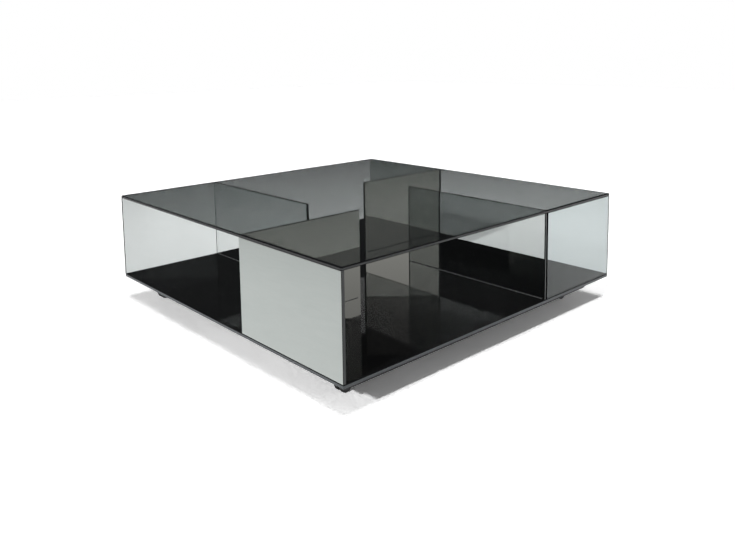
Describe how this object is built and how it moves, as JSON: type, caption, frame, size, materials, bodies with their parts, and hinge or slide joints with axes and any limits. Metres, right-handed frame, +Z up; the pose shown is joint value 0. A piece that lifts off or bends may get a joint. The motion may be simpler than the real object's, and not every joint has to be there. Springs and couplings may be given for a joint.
{
  "type": "coffee table",
  "caption": "Low square glass coffee table: smoked top on mirror and clear upright panels, open bays, black glass shelf, set-back plinth on twin-wheel castors.",
  "frame": {"origin": "centre of the square footprint, on the floor", "axes": "+Z up, -Y the front face with the long mirror panel at its right, +X the right face"},
  "size_m": [1.2, 1.2, 0.366],
  "materials": {
    "smoked_glass": "polished smoked grey glass",
    "black_glass": "glossy black glass",
    "mirror": "silver mirror on both faces",
    "clear_glass": "clear polished glass",
    "coated_glass": "half-reflecting coated glass",
    "plinth_metal": "satin powder coat, near black",
    "zinc_steel": "zinc plated",
    "black_nylon": "moulded, lightly textured",
    "wheel_nylon": "moulded, semi-matt tread",
    "pad_rubber": "translucent grey, soft"
  },
  "bodies": {
    "table": {"glass_top": "smoked_glass", "shelf_glass": "black_glass", "mirror_panel_front": "mirror", "mirror_panel_rear": "mirror", "mirror_fin_front": "mirror", "mirror_fin_rear": "mirror", "clear_fin_right": "clear_glass", "clear_fin_left": "clear_glass", "clear_panel_right": "coated_glass", "clear_panel_left": "coated_glass", "plinth_rail_front": "plinth_metal", "plinth_rail_right": "plinth_metal", "plinth_rail_rear": "plinth_metal", "plinth_rail_left": "plinth_metal", "plinth_bar_left": "plinth_metal", "plinth_bar_right": "plinth_metal", "corner_plate_front_left": "plinth_metal", "corner_plate_front_right": "plinth_metal", "corner_plate_rear_right": "plinth_metal", "corner_plate_rear_left": "plinth_metal", "glass_pads": "pad_rubber", "castor_screws": "zinc_steel", "castor_plate_front_left": "zinc_steel", "castor_kingpin_front_left": "zinc_steel", "castor_plate_front_right": "zinc_steel", "castor_kingpin_front_right": "zinc_steel", "castor_plate_rear_right": "zinc_steel", "castor_kingpin_rear_right": "zinc_steel", "castor_plate_rear_left": "zinc_steel", "castor_kingpin_rear_left": "zinc_steel"},
    "castor_front_left": {"castor_housing_front_left": "black_nylon", "castor_axle_front_left": "zinc_steel"},
    "wheel_a_front_left": {"castor_wheel_a_front_left": "wheel_nylon"},
    "wheel_b_front_left": {"castor_wheel_b_front_left": "wheel_nylon"},
    "castor_front_right": {"castor_housing_front_right": "black_nylon", "castor_axle_front_right": "zinc_steel"},
    "wheel_a_front_right": {"castor_wheel_a_front_right": "wheel_nylon"},
    "wheel_b_front_right": {"castor_wheel_b_front_right": "wheel_nylon"},
    "castor_rear_right": {"castor_housing_rear_right": "black_nylon", "castor_axle_rear_right": "zinc_steel"},
    "wheel_a_rear_right": {"castor_wheel_a_rear_right": "wheel_nylon"},
    "wheel_b_rear_right": {"castor_wheel_b_rear_right": "wheel_nylon"},
    "castor_rear_left": {"castor_housing_rear_left": "black_nylon", "castor_axle_rear_left": "zinc_steel"},
    "wheel_a_rear_left": {"castor_wheel_a_rear_left": "wheel_nylon"},
    "wheel_b_rear_left": {"castor_wheel_b_rear_left": "wheel_nylon"}
  },
  "joints": [
    {"name": "castor_front_left_swivel", "type": "hinge", "parent": "table", "child": "castor_front_left", "pos_m": [-0.49, -0.49, 0.045], "axis": [0, 0, 1], "continuous": true},
    {"name": "wheel_a_front_left_spin", "type": "hinge", "parent": "castor_front_left", "child": "wheel_a_front_left", "pos_m": [-0.49, -0.508, 0.02], "axis": [1, 0, 0], "continuous": true},
    {"name": "wheel_b_front_left_spin", "type": "hinge", "parent": "castor_front_left", "child": "wheel_b_front_left", "pos_m": [-0.49, -0.508, 0.02], "axis": [1, 0, 0], "continuous": true},
    {"name": "castor_front_right_swivel", "type": "hinge", "parent": "table", "child": "castor_front_right", "pos_m": [0.49, -0.49, 0.045], "axis": [0, 0, 1], "continuous": true},
    {"name": "wheel_a_front_right_spin", "type": "hinge", "parent": "castor_front_right", "child": "wheel_a_front_right", "pos_m": [0.49, -0.508, 0.02], "axis": [1, 0, 0], "continuous": true},
    {"name": "wheel_b_front_right_spin", "type": "hinge", "parent": "castor_front_right", "child": "wheel_b_front_right", "pos_m": [0.49, -0.508, 0.02], "axis": [1, 0, 0], "continuous": true},
    {"name": "castor_rear_right_swivel", "type": "hinge", "parent": "table", "child": "castor_rear_right", "pos_m": [0.49, 0.49, 0.045], "axis": [0, 0, 1], "continuous": true},
    {"name": "wheel_a_rear_right_spin", "type": "hinge", "parent": "castor_rear_right", "child": "wheel_a_rear_right", "pos_m": [0.49, 0.472, 0.02], "axis": [1, 0, 0], "continuous": true},
    {"name": "wheel_b_rear_right_spin", "type": "hinge", "parent": "castor_rear_right", "child": "wheel_b_rear_right", "pos_m": [0.49, 0.472, 0.02], "axis": [1, 0, 0], "continuous": true},
    {"name": "castor_rear_left_swivel", "type": "hinge", "parent": "table", "child": "castor_rear_left", "pos_m": [-0.49, 0.49, 0.045], "axis": [0, 0, 1], "continuous": true},
    {"name": "wheel_a_rear_left_spin", "type": "hinge", "parent": "castor_rear_left", "child": "wheel_a_rear_left", "pos_m": [-0.49, 0.472, 0.02], "axis": [1, 0, 0], "continuous": true},
    {"name": "wheel_b_rear_left_spin", "type": "hinge", "parent": "castor_rear_left", "child": "wheel_b_rear_left", "pos_m": [-0.49, 0.472, 0.02], "axis": [1, 0, 0], "continuous": true}
  ]
}
